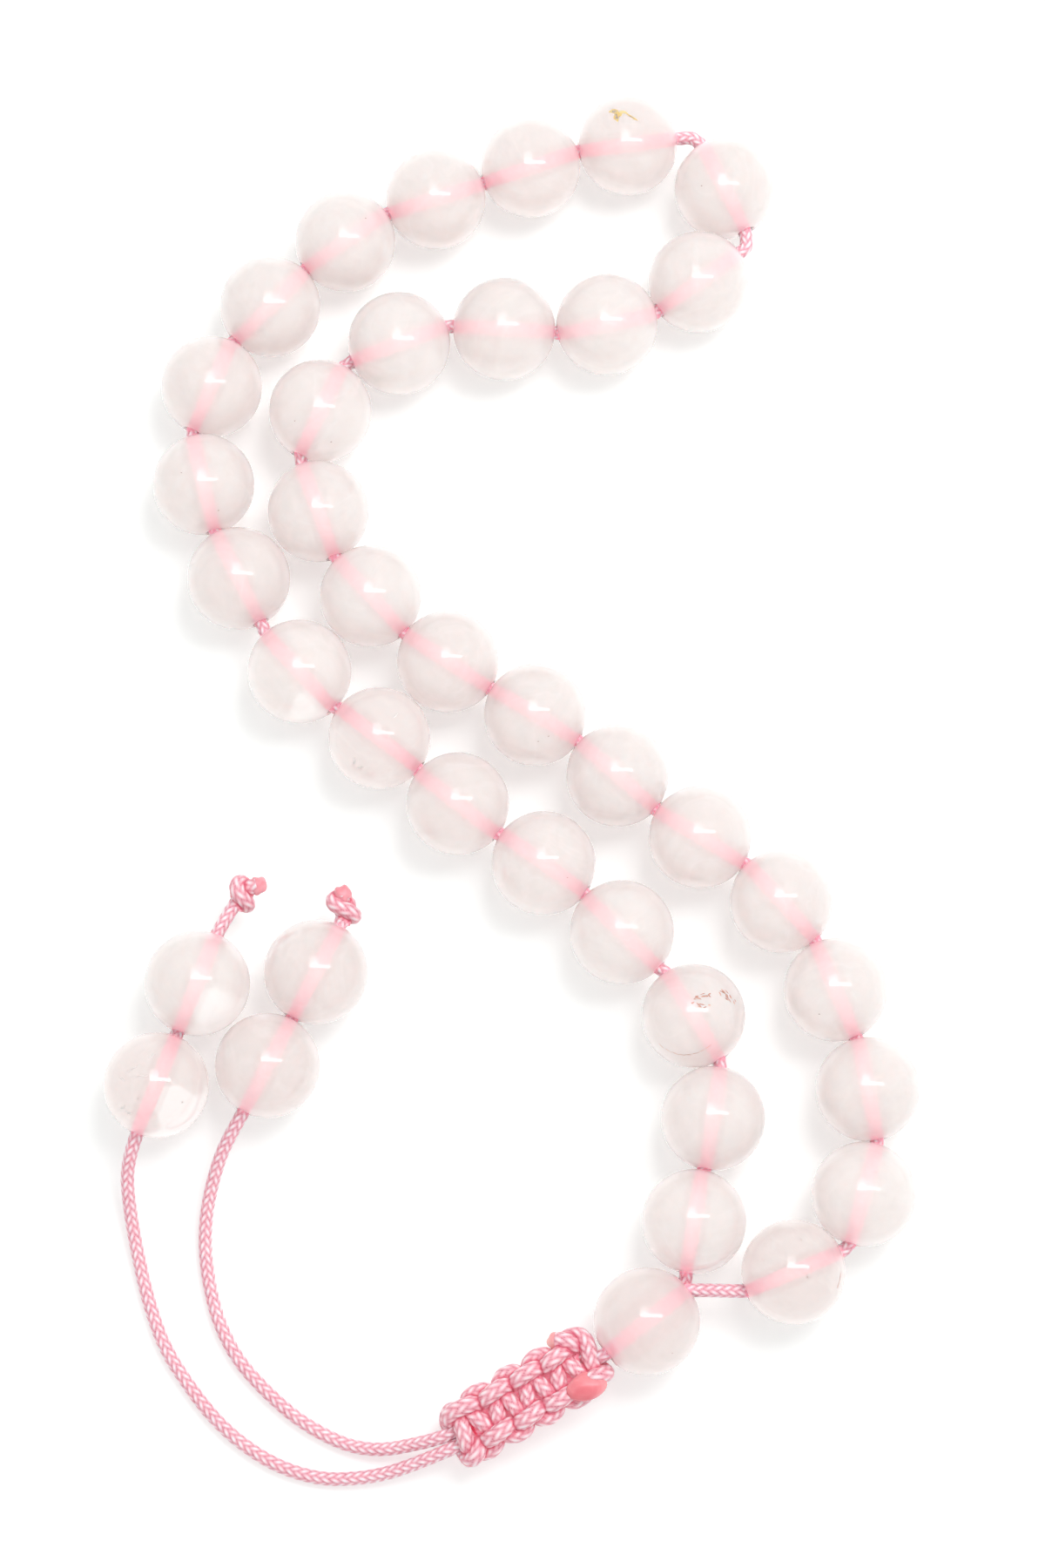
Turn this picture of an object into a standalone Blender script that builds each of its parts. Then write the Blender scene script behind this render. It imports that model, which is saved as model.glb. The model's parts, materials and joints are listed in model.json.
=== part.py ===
"""Rose quartz prayer beads on a braided cord: a strand laid in an S, a guru bead, a sliding knot and two tails.

Lengths are metres, +Z is up and the beads rest on z = 0. The strand starts at the guru bead, runs up the
inner side to the top turn and comes back down the outer side.
"""

from itertools import combinations
from math import asin, atan2, cos, pi, radians, sin

import bmesh
import bpy
from mathutils import Matrix, Vector

MM = 0.001

# Beads
BEAD_DIAMETER = 9.8 * MM
BEAD_GAP = 0.3 * MM
BEAD_RIM = 0.15 * MM
BEAD_SEGMENTS = 14
BEAD_ARC_STEPS = 5

# Cord, and how freely it runs in the bores
CORD_DIAMETER = 1.35 * MM
BORE_CLEARANCE = 0.3 * MM
PAIR_GAP = 0.3 * MM
CORD_JOIN_GAP = 0.3 * MM
FLOOR_CLEARANCE = 0.05 * MM
CORD_STEP = 3.4 * MM
CORD_BEVEL_STEPS = 2
BORE_LEAD = 0.1 * MM

# Sliding knot: rows of a second cord over and under the two tails
KNOT_CORD_DIAMETER = 0.95 * MM
KNOT_CORD_BEVEL_STEPS = 1
KNOT_ROWS = 8
KNOT_ROW_GAP = 0.67 * MM
KNOT_CORE_CLEARANCE = 0.22 * MM
KNOT_BAR_HALF_LENGTH = 1.1 * MM
KNOT_BACK_EXTRA = 0.2 * MM
KNOT_INNER_TURN_EXTRA = 0.3 * MM
KNOT_OUTER_TURN_EXTRA = 0.55 * MM
KNOT_INNER_TURN_RISE = 1.1 * MM
KNOT_OUTER_TURN_RISE = 0.5 * MM
KNOT_DIVE_INSET = 0.3 * MM
KNOT_DIVE_DROP = 1.2 * MM
KNOT_NECK = 2.0 * MM
KNOT_NECK_DROP = 0.4 * MM
KNOT_SLOPE = radians(4.6)
KNOT_HEADING = radians(209.7)
KNOT_STRAIGHT_LEAD = 2.0 * MM
KNOT_TAIL_INSET = 1.0 * MM

# Overhand knots at the ends of the tails
END_KNOT_DIAMETER = 3.0 * MM
END_KNOT_LENGTH = 3.6 * MM
END_KNOT_SEGMENTS = 10
END_KNOT_RINGS = 6

# Places chosen on the table, in millimetres, for beads at this pitch. Wider beads spread them all.
ROUTE_PITCH = 10.1 * MM
STRAND_PLACES = [
    (17.5, -45.1), (19.4, -35.2), (17.6, -25.3), (10.7, -17.1), (3.1, -10.3), (-5.3, -4.4),
    (-13.0, 2.1), (-20.9, 8.8), (-27.0, 18.2), (-30.6, 27.9), (-29.9, 37.8), (-24.1, 46.2),
    (-16.7, 52.9), (-7.6, 57.4), (1.9, 60.7), (11.3, 63.0), (21.4, 58.5), (18.7, 48.7),
    (9.5, 44.3), (-0.8, 43.8), (-11.3, 42.3), (-19.1, 35.3), (-19.2, 25.0), (-13.7, 16.2),
    (-5.9, 9.6), (2.4, 4.3), (10.2, -1.5), (18.2, -7.6), (26.0, -14.0), (31.3, -22.7),
    (34.3, -32.3), (33.8, -42.4), (27.0, -49.9),
]
GURU_PLACE = (12.9, -54.6)
GURU_HEADING = radians(38.0)
# Where the cord crosses from one bead to the next, for the sharp turns only
STRAND_START = (16.8, -50.9)
STRAND_CROSSINGS = {16: (18.2, 63.9), 17: (23.6, 52.3), 32: (32.2, -47.6)}
STRAND_END = (22.4, -51.7)
STRAND_RETURN = (18.3, -51.7)
STRAND_RETURN_RISE = 0.6 * MM
TAIL_PLACES = {
    "left": [(-34.3, -32.0), (-30.5, -22.1)],
    "right": [(-23.6, -30.1), (-19.0, -21.0)],
}
END_KNOT_PLACES = {"left": (-26.1, -12.8), "right": (-16.2, -14.2)}
END_KNOT_DROP = 0.6 * MM
# Route of each tail from the sliding knot to its beads: x, y and the height of the cord's underside
TAIL_ROUTES = {
    "left": [
        (-11.1, -68.6, 1.0), (-14.7, -69.3, 0.3), (-18.4, -69.3, 0.0), (-22.2, -68.2, 0.0),
        (-25.5, -66.3, 0.0), (-28.4, -63.8, 0.0), (-31.1, -60.5, 0.0), (-33.5, -56.7, 0.0),
        (-35.1, -52.4, 0.0), (-36.2, -48.0, 0.2), (-36.9, -44.0, 1.0), (-37.1, -40.2, 2.6),
    ],
    "right": [
        (-10.2, -66.3, 1.2), (-12.9, -66.6, 0.5), (-15.6, -66.2, 0.1), (-18.4, -65.0, 0.0),
        (-21.2, -63.2, 0.0), (-24.2, -60.5, 0.0), (-26.5, -57.8, 0.0), (-28.3, -54.3, 0.0),
        (-29.4, -50.0, 0.0), (-29.7, -46.0, 0.3), (-29.2, -42.2, 1.2), (-27.9, -38.2, 2.8),
    ],
}

STONE_COLOUR = (0.93, 0.78, 0.78, 1.0)
STONE_ROUGHNESS = 0.08
CORD_COLOUR = (0.86, 0.42, 0.5, 1.0)
CORD_ROUGHNESS = 0.55


def clear_scene():
    for obj in list(bpy.data.objects):
        bpy.data.objects.remove(obj)


def principled(name, colour, roughness):
    material = bpy.data.materials.new(name)
    material.use_nodes = True
    shader = material.node_tree.nodes["Principled BSDF"]
    shader.inputs["Base Color"].default_value = colour
    shader.inputs["Roughness"].default_value = roughness
    shader.inputs["Metallic"].default_value = 0.0
    return material


def heading_vector(angle):
    return Vector((cos(angle), sin(angle), 0.0))


def table_place(place):
    """A chosen place in metres, spread with the beads' pitch."""
    spread = (BEAD_DIAMETER + BEAD_GAP) / ROUTE_PITCH
    return Vector((place[0], place[1], 0.0)) * MM * spread


def settle(places):
    """Moves beads apart until each pair of centres is at least one pitch apart."""
    pitch = BEAD_DIAMETER + BEAD_GAP
    rounds = 400
    for _ in range(rounds):
        for first, second in combinations(places, 2):
            along = second - first
            short = pitch - along.length
            if short > 0:
                push = along.normalized() * short / 2
                first -= push
                second += push


def bore_radius(cords):
    """Radius of the bore's corners, so that its flats clear one cord or a pair side by side."""
    held = CORD_DIAMETER / 2 if cords == 1 else CORD_DIAMETER + PAIR_GAP / 2
    return (held + BORE_CLEARANCE) / cos(pi / BEAD_SEGMENTS)


def bead_half_length(bore):
    rim = bore + BEAD_RIM
    return ((BEAD_DIAMETER / 2) ** 2 - rim**2) ** 0.5


def bead_profile(bore):
    """Closed outline of half a bead: position along the bore and distance from it."""
    radius = BEAD_DIAMETER / 2
    first = asin((bore + BEAD_RIM) / radius)
    step = (pi - 2 * first) / BEAD_ARC_STEPS
    angles = [first + step * i for i in range(BEAD_ARC_STEPS + 1)]
    outline = [(radius * cos(a), radius * sin(a)) for a in angles]
    half = bead_half_length(bore)
    return outline + [(-half, bore), (half, bore)]


def bead_height(bore):
    """Height of a bead's centre when one facet of its middle band lies flat on the table."""
    first = asin((bore + BEAD_RIM) / (BEAD_DIAMETER / 2))
    band = (pi - 2 * first) / BEAD_ARC_STEPS
    return BEAD_DIAMETER / 2 * cos(band / 2) * cos(pi / BEAD_SEGMENTS)


def bead_mesh(name, bore):
    """A drilled bead turned about local X, with one facet facing straight down."""
    mesh = bpy.data.meshes.new(name)
    shape = bmesh.new()
    rings = []
    for along, out in bead_profile(bore):
        turns = [2 * pi * (i + 0.5) / BEAD_SEGMENTS - pi / 2 for i in range(BEAD_SEGMENTS)]
        rings.append([shape.verts.new((along, out * cos(t), out * sin(t))) for t in turns])
    for ring, following in zip(rings, rings[1:] + rings[:1]):
        for i in range(BEAD_SEGMENTS):
            j = (i + 1) % BEAD_SEGMENTS
            shape.faces.new((ring[i], ring[j], following[j], following[i]))
    bmesh.ops.recalc_face_normals(shape, faces=shape.faces)
    shape.to_mesh(mesh)
    shape.free()
    mesh.shade_smooth()
    mesh.set_sharp_from_angle(angle=radians(40))
    return mesh


def add_object(name, data, material):
    obj = bpy.data.objects.new(name, data)
    obj.data.materials.clear()
    obj.data.materials.append(material)
    bpy.context.scene.collection.objects.link(obj)
    return obj


def add_bead(name, mesh, centre, heading, material):
    bead = add_object(name, mesh, material)
    bead.location = centre
    bead.rotation_euler = (0.0, 0.0, heading)


def curve_between(points, steps):
    """Points on a smooth curve through the given ones, with that many steps from each to the next."""
    ends = [2 * points[0] - points[1]] + points + [2 * points[-1] - points[-2]]
    curve = []
    for before, start, end, after in zip(ends, ends[1:], ends[2:], ends[3:]):
        for i in range(steps):
            t = i / steps
            linear = (end - before) * t
            square = (2 * before - 5 * start + 4 * end - after) * t**2
            cube = (3 * start - before - 3 * end + after) * t**3
            curve.append((2 * start + linear + square + cube) / 2)
    return curve + [points[-1]]


def even_points(points, step):
    """Points about one step apart along a line of many points."""
    runs = [(b - a).length for a, b in zip(points, points[1:])]
    count = max(2, round(sum(runs) / step))
    spacing = sum(runs) / count
    spaced = [points[0]]
    travelled = 0.0
    for start, end, run in zip(points, points[1:], runs):
        while len(spaced) < count and travelled + run >= spacing * len(spaced):
            share = (spacing * len(spaced) - travelled) / run
            spaced.append(start.lerp(end, share))
        travelled += run
    return spaced + [points[-1]]


def add_tube(name, points, diameter, bevel_steps, material):
    """A round cord along the points, closed at both ends."""
    curve = bpy.data.curves.new(name, "CURVE")
    curve.dimensions = "3D"
    curve.bevel_depth = diameter / 2
    curve.bevel_resolution = bevel_steps
    curve.use_fill_caps = True
    spline = curve.splines.new("POLY")
    spline.points.add(len(points) - 1)
    for target, point in zip(spline.points, points):
        target.co = (*point, 1.0)
    spline.use_smooth = True
    return add_object(name, curve, material)


def bore_headings(beads):
    """Turns each bead until its bore points at its neighbours' bores, or at a chosen crossing."""
    rounds = 40
    reach = bead_half_length(bore_radius(1))
    chosen = {0: STRAND_START, len(beads): STRAND_END, **STRAND_CROSSINGS}
    crossings = {number: table_place(place) for number, place in chosen.items()}
    ends = [crossings[0]] + beads + [crossings[len(beads)]]
    headings = [(after - before).normalized() for before, after in zip(ends, ends[2:])]
    for _ in range(rounds):
        turned = []
        for i, heading in enumerate(headings):
            before = crossings.get(i) or beads[i - 1] + headings[i - 1] * reach
            after = crossings.get(i + 1) or beads[i + 1] - headings[i + 1] * reach
            turned.append((heading + (after - before).normalized()).normalized())
        headings = turned
    return headings


def strand_layout():
    """Centres and headings of the guru bead and of the counting beads, in order."""
    places = [table_place(p) for p in [GURU_PLACE] + STRAND_PLACES]
    settle(places)
    guru, beads = places[0], places[1:]
    headings = bore_headings(beads)
    guru.z = bead_height(bore_radius(2))
    for bead in beads:
        bead.z = bead_height(bore_radius(1))
    return guru, beads, headings


def add_strand_beads(centres, headings, material):
    mesh = bead_mesh("counting_bead", bore_radius(1))
    for number, (centre, heading) in enumerate(zip(centres, headings), start=1):
        add_bead(f"bead_{number:02d}", mesh, centre, atan2(heading.y, heading.x), material)


class KnotFrame:
    """Where the sliding knot sits: its own X runs from the tails' side towards the guru bead."""

    def __init__(self, guru):
        row = KNOT_CORD_DIAMETER + KNOT_ROW_GAP
        self.row = row
        self.length = (KNOT_ROWS + 0.5) * row + KNOT_CORD_DIAMETER
        exit_reach = bead_half_length(bore_radius(2))
        neck = heading_vector((GURU_HEADING + pi + KNOT_HEADING) / 2)
        drop = Vector((0.0, 0.0, KNOT_NECK_DROP))
        self.guru_side = guru - heading_vector(GURU_HEADING) * exit_reach + neck * KNOT_NECK - drop
        flat = heading_vector(KNOT_HEADING) * cos(KNOT_SLOPE)
        self.to_tails = flat - Vector((0.0, 0.0, sin(KNOT_SLOPE)))
        self.tail_side = self.guru_side + self.to_tails * self.length
        self.across = Vector((0.0, 0.0, 1.0)).cross(-self.to_tails).normalized()
        self.up = (-self.to_tails).cross(self.across)
        self.centre = (self.guru_side + self.tail_side) / 2

    def pair_offset(self, turn):
        """From the knot's axis to one of the two cords inside it, turned from straight across."""
        reach = (CORD_DIAMETER + PAIR_GAP) / 2
        return (self.across * cos(turn) + self.up * sin(turn)) * reach


def knot_rows():
    """The knotting cord's route round the core: one end over the front, the other behind, row by row."""
    row = KNOT_CORD_DIAMETER + KNOT_ROW_GAP
    core = CORD_DIAMETER + PAIR_GAP / 2 + KNOT_CORE_CLEARANCE
    front = core + KNOT_CORD_DIAMETER / 2
    back = front + KNOT_BACK_EXTRA
    inner = front + KNOT_INNER_TURN_EXTRA
    outer = inner + KNOT_OUTER_TURN_EXTRA
    dive = outer - KNOT_DIVE_INSET
    half = KNOT_BAR_HALF_LENGTH
    over = []
    under = []
    for number in range(KNOT_ROWS):
        side = 1 if number % 2 == 0 else -1
        x = number * row
        over.append((x - row / 2, -side * inner, KNOT_INNER_TURN_RISE))
        over += [(x, -side * half, front), (x, 0.0, front), (x, side * half, front)]
        if number:
            under.append((x - row, side * dive, -KNOT_DIVE_DROP))
        under.append((x - row * 0.75, side * outer, KNOT_OUTER_TURN_RISE))
        under.append((x - row * 0.25, side * outer, KNOT_OUTER_TURN_RISE))
        under.append((x, side * dive, -KNOT_DIVE_DROP))
        under += [(x, side * half, -back), (x, 0.0, -back), (x, -side * half, -back)]
    last = (KNOT_ROWS - 1) * row
    side = 1 if KNOT_ROWS % 2 == 0 else -1
    over.append((last + row / 2, -side * inner, KNOT_INNER_TURN_RISE))
    under.append((last, side * dive, -KNOT_DIVE_DROP))
    under.append((last + row * 0.25, side * outer, KNOT_OUTER_TURN_RISE))
    start_bar = [(-row, -half, front), (-row, 0.0, front), (-row, half, front)]
    route = [Vector(p) for p in over[::-1] + start_bar + under]
    middle = Vector(((KNOT_ROWS - 1.5) * row / 2, 0.0, 0.0))
    return [point - middle for point in route]


def least_gap(points, diameter):
    """Least gap of a tube to itself, between points further apart along it than three diameters."""
    travelled = [0.0]
    for start, end in zip(points, points[1:]):
        travelled.append(travelled[-1] + (end - start).length)
    gaps = [
        (a - b).length - diameter
        for i, a in enumerate(points)
        for j, b in enumerate(points[:i])
        if travelled[i] - travelled[j] > 3 * diameter
    ]
    return min(gaps)


def add_sliding_knot(frame, material):
    steps = 2
    points = curve_between(knot_rows(), steps)
    knot = add_tube("sliding_knot", points, KNOT_CORD_DIAMETER, KNOT_CORD_BEVEL_STEPS, material)
    knot.location = frame.centre
    columns = zip(-frame.to_tails, frame.across, frame.up)
    knot.rotation_euler = Matrix([list(row) for row in columns]).to_euler()
    gap_mm = least_gap(points, KNOT_CORD_DIAMETER) / MM
    print(f"sliding knot: least gap to itself {gap_mm:.2f} mm")


def guru_runs(guru, lift):
    """Where one of the paired cords enters and leaves the guru bead, that far above or below its axis."""
    reach = bead_half_length(bore_radius(2)) + BORE_LEAD
    along = heading_vector(GURU_HEADING) * reach
    raised = guru + Vector((0.0, 0.0, lift))
    return raised - along, raised + along


def knot_run(frame, turn_at_guru, turn_at_tails):
    """Points of one cord through the sliding knot, from the tails' side to the guru bead's side."""
    steps = 6
    start = frame.tail_side - frame.to_tails * KNOT_TAIL_INSET
    points = []
    for i in range(steps + 1):
        share = i / steps
        turn = turn_at_tails + (turn_at_guru - turn_at_tails) * share
        points.append(start.lerp(frame.guru_side, share) + frame.pair_offset(turn))
    return points


def add_strand_cord(guru, centres, headings, frame, material):
    """One cord from the sliding knot through the guru bead, every counting bead and back again."""
    lift = (CORD_DIAMETER + PAIR_GAP) / 2
    reach = bead_half_length(bore_radius(1)) + BORE_LEAD
    going_in, going_out = guru_runs(guru, -lift)
    back_out, back_in = guru_runs(guru, lift)
    points = knot_run(frame, 1.5 * pi, 2 * pi) + [going_in, going_out]
    for number, (centre, heading) in enumerate(zip(centres, headings), start=1):
        points += [centre - heading * reach, centre + heading * reach]
        if number in STRAND_CROSSINGS:
            points.append(table_place(STRAND_CROSSINGS[number]) + Vector((0.0, 0.0, centre.z)))
    turn = table_place(STRAND_RETURN)
    turn.z = guru.z + STRAND_RETURN_RISE
    points += [turn, back_in, back_out] + knot_run(frame, 0.5 * pi, pi)[::-1]
    add_tube("strand_cord", points, CORD_DIAMETER, CORD_BEVEL_STEPS, material)


def tail_points(side, frame, centres, heading):
    """Route of one tail: out of the sliding knot, along the table and up through its two beads."""
    offset = frame.pair_offset(pi if side == "left" else 0.0)
    inset = KNOT_TAIL_INSET - CORD_JOIN_GAP
    start = frame.tail_side - frame.to_tails * inset + offset
    leave = frame.tail_side + frame.to_tails * KNOT_STRAIGHT_LEAD + offset
    lowest = CORD_DIAMETER / 2 + FLOOR_CLEARANCE
    lying = []
    for x, y, rise in TAIL_ROUTES[side]:
        lying.append(table_place((x, y)) + Vector((0.0, 0.0, lowest + rise * MM)))
    reach = bead_half_length(bore_radius(1)) + BORE_LEAD
    into_beads = centres[0] - heading * reach
    steps = 8
    free = curve_between([start, leave] + lying + [into_beads], steps)
    return even_points(free, CORD_STEP) + [centres[1] + heading * reach]


def add_end_knot(side, leaving, material):
    """The overhand knot as a plain rounded lump in line with the end of its cord."""
    centre = table_place(END_KNOT_PLACES[side])
    centre.z = leaving.z - END_KNOT_DROP
    along = (centre - leaving).normalized()
    mesh = bpy.data.meshes.new(f"end_knot_{side}")
    shape = bmesh.new()
    bmesh.ops.create_uvsphere(
        shape, u_segments=END_KNOT_SEGMENTS, v_segments=END_KNOT_RINGS, radius=END_KNOT_DIAMETER / 2
    )
    stretch = END_KNOT_LENGTH / END_KNOT_DIAMETER
    bmesh.ops.scale(shape, vec=(1.0, 1.0, stretch), verts=shape.verts)
    shape.to_mesh(mesh)
    shape.free()
    mesh.shade_smooth()
    knot = add_object(f"end_knot_{side}", mesh, material)
    knot.location = centre
    knot.rotation_euler = along.to_track_quat("Z", "Y").to_euler()
    return centre - along * (END_KNOT_LENGTH / 2 + CORD_JOIN_GAP)


def add_tail(side, frame, stone, cord):
    """Two beads, the free cord and the end knot of one tail."""
    rise = Vector((0.0, 0.0, bead_height(bore_radius(1))))
    places = [table_place(p) for p in TAIL_PLACES[side]]
    settle(places)
    centres = [place + rise for place in places]
    heading = (places[1] - places[0]).normalized()
    mesh = bead_mesh(f"tail_bead_{side}", bore_radius(1))
    for name, centre in zip(("lower", "upper"), centres):
        add_bead(f"tail_bead_{side}_{name}", mesh, centre, atan2(heading.y, heading.x), stone)
    points = tail_points(side, frame, centres, heading)
    points.append(add_end_knot(side, points[-1], cord))
    add_tube(f"tail_cord_{side}", points, CORD_DIAMETER, CORD_BEVEL_STEPS, cord)


def build():
    clear_scene()
    stone = principled("rose_quartz", STONE_COLOUR, STONE_ROUGHNESS)
    cord = principled("braided_nylon", CORD_COLOUR, CORD_ROUGHNESS)
    guru, centres, headings = strand_layout()
    add_strand_beads(centres, headings, stone)
    add_bead("guru_bead", bead_mesh("guru_bead", bore_radius(2)), guru, GURU_HEADING, stone)
    frame = KnotFrame(guru)
    add_strand_cord(guru, centres, headings, frame, cord)
    add_sliding_knot(frame, cord)
    for side in ("left", "right"):
        add_tail(side, frame, stone, cord)


build()
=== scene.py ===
"""Rose quartz prayer beads on a braided nylon cord, laid in an S on a white table."""

import json
from math import asin, atan2, cos, pi, radians, sin

import bpy
import numpy as np
from mathutils import Matrix, Vector


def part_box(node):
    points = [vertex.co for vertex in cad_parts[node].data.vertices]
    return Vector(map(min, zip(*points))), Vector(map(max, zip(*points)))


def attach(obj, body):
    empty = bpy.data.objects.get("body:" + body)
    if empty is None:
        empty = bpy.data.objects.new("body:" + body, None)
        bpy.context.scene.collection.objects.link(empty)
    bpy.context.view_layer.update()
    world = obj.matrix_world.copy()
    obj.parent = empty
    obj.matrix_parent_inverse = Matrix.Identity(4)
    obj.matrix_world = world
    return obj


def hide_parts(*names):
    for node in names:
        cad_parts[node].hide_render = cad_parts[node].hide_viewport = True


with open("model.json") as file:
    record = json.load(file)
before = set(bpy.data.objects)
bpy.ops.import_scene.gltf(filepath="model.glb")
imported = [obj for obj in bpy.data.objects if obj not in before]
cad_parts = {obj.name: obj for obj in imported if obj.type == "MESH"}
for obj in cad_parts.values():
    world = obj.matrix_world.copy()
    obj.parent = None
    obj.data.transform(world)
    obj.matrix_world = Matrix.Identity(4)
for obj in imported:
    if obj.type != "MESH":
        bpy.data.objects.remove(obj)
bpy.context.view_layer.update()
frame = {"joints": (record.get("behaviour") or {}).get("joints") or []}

MM = 0.001

# Lengths are in millimetres, except in lamps and shaders

# Beads: each is as large as its nearest neighbour leaves room for, less a clearance
BEAD_R = 5.04
BEAD_R_MAX = 5.14
BEAD_CLEARANCE = 0.005
BORE_R = 0.84
GURU_BORE_R = 1.5
BEAD_SIDES = 72
BEAD_ARC_STEPS = 61

# Rounded edge of a bore: its width and depth, and how far its curve's corner stands out
RIM_FILLET = 0.12
RIM_DEPTH = 1.6 * RIM_FILLET
RIM_CORNER = (0.02, 0.01)
RIM_STEPS = 6
WALL_STEPS = 9

# Cord: thinner inside the stone, which enlarges it. It thins from the bore's mouth on, faster than it goes in
CORD_R = 0.69
HIDDEN_CORD_R = 0.5
THIN_START = 5.0
THIN_RATE = 5
THIN_DELAY = 0.3
# Distance from a bead's middle within which the cord gets its painted glow
GLOW_START = 5.2
FLOOR_Z = -0.5

# Braid: strands each way round the cord, the length of one stitch, and the spacing of the mesh's rings
BRAID_STRANDS = 8
STITCH = 0.89
BRAID_RELIEF = 0.12
BRAID_SIDES = 40
BRAID_RING = 0.085
HIDDEN_RING = 0.3
HIDDEN_WITHIN = 4.3

JOINTS = {j["child"]: j for j in frame["joints"]}
STRAND = [f"bead_{n:02d}" for n in range(1, 34)]
TAIL_BEADS = {s: [f"tail_bead_{s}_lower", f"tail_bead_{s}_upper"] for s in ("left", "right")}

# Knots: radius of their cord and least distance of its centre lines, which press into each other
KNOT_CORD_R = 0.84
KNOT_REACH = 1.14
CORE_SIDE = 0.6
CORE_REACH = KNOT_REACH + 0.06
END_KNOT_CORD_R = 0.82
END_KNOT_REACH = 1.0
# Width over which a knot's painted shade fades out from its crevices
CREVICE = 0.34

# Sliding knot: bars of the square knots, and the knot's length as the CAD has it
KNOT_BARS = 9
KNOT_BAR = 1.65
KNOT_HEIGHT = 1.35
KNOT_SIDE = 2.7
KNOT_TIPS = {"front": (5.9, -2.6, 1.4), "back": (5.0, 3.1, 1.3)}
KNOT_HALF = 7.4
KNOT_SHIFT = 0.4
KNOT_COVER = 6.2
# Faint painted glow of the strand's cord where the sliding knot covers it
KNOT_GLOW = 0.06

# Melted ends of the sliding knot's cord: place in the knot's frame, radii and seed of their unevenness
KNOT_LUMPS = {
    "melted_end_front": ((5.3, -2.1, 2.15), (1.8, 1.4, 0.9), 5),
    "melted_end_back": ((4.9, 3.15, 1.25), (0.8, 0.8, 0.7), 8),
}

# End knots: where the cord's tip stands, where the knot sits on the tail, and its melted tip's radii and seed
END_TIPS = {"left": (1.5, -0.7, 1.1), "right": (1.2, 0.8, 1.1)}
END_KNOT_SHIFT = np.array((-0.7, -0.35, 0.0))
END_LUMP = ((0.85, 0.85, 0.8), 3)

# Tightening of knots: spacing of the points, rounds, and what moves the points in each round
KNOT_STEP = 0.42
KNOT_ROUNDS = 140
END_KNOT_ROUNDS = 180
RESPACE_ROUNDS = 15
SAME_RUN = 1.7
CORD_PUSH = 0.25
CORE_PUSH = 0.6
PULL = 0.3
STIFFNESS = 0.1
LONGEST_MOVE = 0.2

# Routes on the table, as the CAD lays them: x, y and the height of the cord's underside
TAIL_ROUTES = {
    "left": [
        (-11.1, -68.6, 1.0), (-14.7, -69.3, 0.3), (-18.4, -69.3, 0.0), (-22.2, -68.2, 0.0),
        (-25.5, -66.3, 0.0), (-28.4, -63.8, 0.0), (-31.1, -60.5, 0.0), (-33.5, -56.7, 0.0),
        (-35.1, -52.4, 0.0), (-36.2, -48.0, 0.2), (-36.9, -44.0, 1.0), (-37.1, -40.2, 2.6),
    ],
    "right": [
        (-10.2, -66.3, 1.2), (-12.9, -66.6, 0.5), (-15.6, -66.2, 0.1), (-18.4, -65.0, 0.0),
        (-21.2, -63.2, 0.0), (-24.2, -60.5, 0.0), (-26.5, -57.8, 0.0), (-28.3, -54.3, 0.0),
        (-29.4, -50.0, 0.0), (-29.7, -46.0, 0.3), (-29.2, -42.2, 1.2), (-27.9, -38.2, 2.8),
    ],
}

# Tails: how far they start inside the sliding knot and leave it straight, and the mouths of the tail beads
TAIL_HIDDEN = 1.5
TAIL_STRAIGHT = 1.2
TAIL_MOUTH = 4.9

# Strand: points where its cord crosses a gap off the straight line, mouths of the bores, and how far its two
# ends lie apart in the guru bead and go into the sliding knot
STRAND_CROSSINGS = {16: (18.2, 63.9), 17: (23.6, 52.3), 32: (32.2, -47.6)}
STRAND_RETURN = (18.3, -51.7)
RETURN_RISE = 0.6
STRAND_MOUTH = 4.75
GURU_MOUTH = 4.7
GURU_KNOT_MOUTH = 5.6
GURU_LIFT = np.array((0, 0, 0.74))
STRAND_END = 6.0

CAMERA_PLACE = np.array((1.04, -72.03, 381.84))
CAMERA_TARGET = np.array((1.04, -2.48, 4.7))
LENS = 90.0
SENSOR = 36.0

# Beads that are clearer than most, from 0 for clear to 1 for milky, and beads that are greyer than most
CLEAR_BEADS = {"bead_07": 0.25, "bead_15": 0.4, "bead_16": 0.4, "bead_33": 0.2, "tail_bead_left_lower": 0.2}
GREY_BEADS = {
    "guru_bead": 0.92, "bead_33": 0.92, "tail_bead_right_lower": 0.95, "tail_bead_right_upper": 0.96,
    "tail_bead_left_lower": 0.92, "bead_07": 0.96, "bead_15": 0.97, "bead_16": 0.97,
}

# Lamps, in metres and watts. The window's strips show as each bead's highlight, each dimmer than the last
LAMP_HEIGHT = 0.40
KEY_PLACE = (0.15, 0.16, LAMP_HEIGHT)
KEY_SIZE = (0.24, 0.24)
KEY_POWER = 1.3
WINDOW_STRIPS = 5
WINDOW_FADE = 0.74
WINDOW_POWER = 0.2
WINDOW_X = 0.080
WINDOW_NEAR = 0.008
WINDOW_WIDTH = 0.36
STRIP_HEIGHT = 0.038

# Table and sky: strength of the table's own light, what is added where it is seen, by distance in metres from
# the middle, and the table as the stone shows it
TABLE_EDGE = 4000.0
TABLE_COLOUR = (0.725, 0.755, 0.745, 1)
TABLE_LIGHT = (1.0, 0.99, 0.98, 1)
TABLE_GLOW = 0.33
TABLE_SEEN = [(0.1, 0.05), (0.3, 0.15)]
TABLE_THROUGH_STONE = 1.06
SKY_STRENGTH = 0.74
WHITE = 1.0

# Flakes in the stone: corners of their outline, and how far they stand out of the polish and go into it
FLAKE_CORNERS = 12
FLAKE_PROUD = 0.008
FLAKE_DEPTH = 0.03

UP = (0.0, 0.0, 1.0)
TINY = 1e-9

rng = np.random.default_rng(33)


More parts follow.
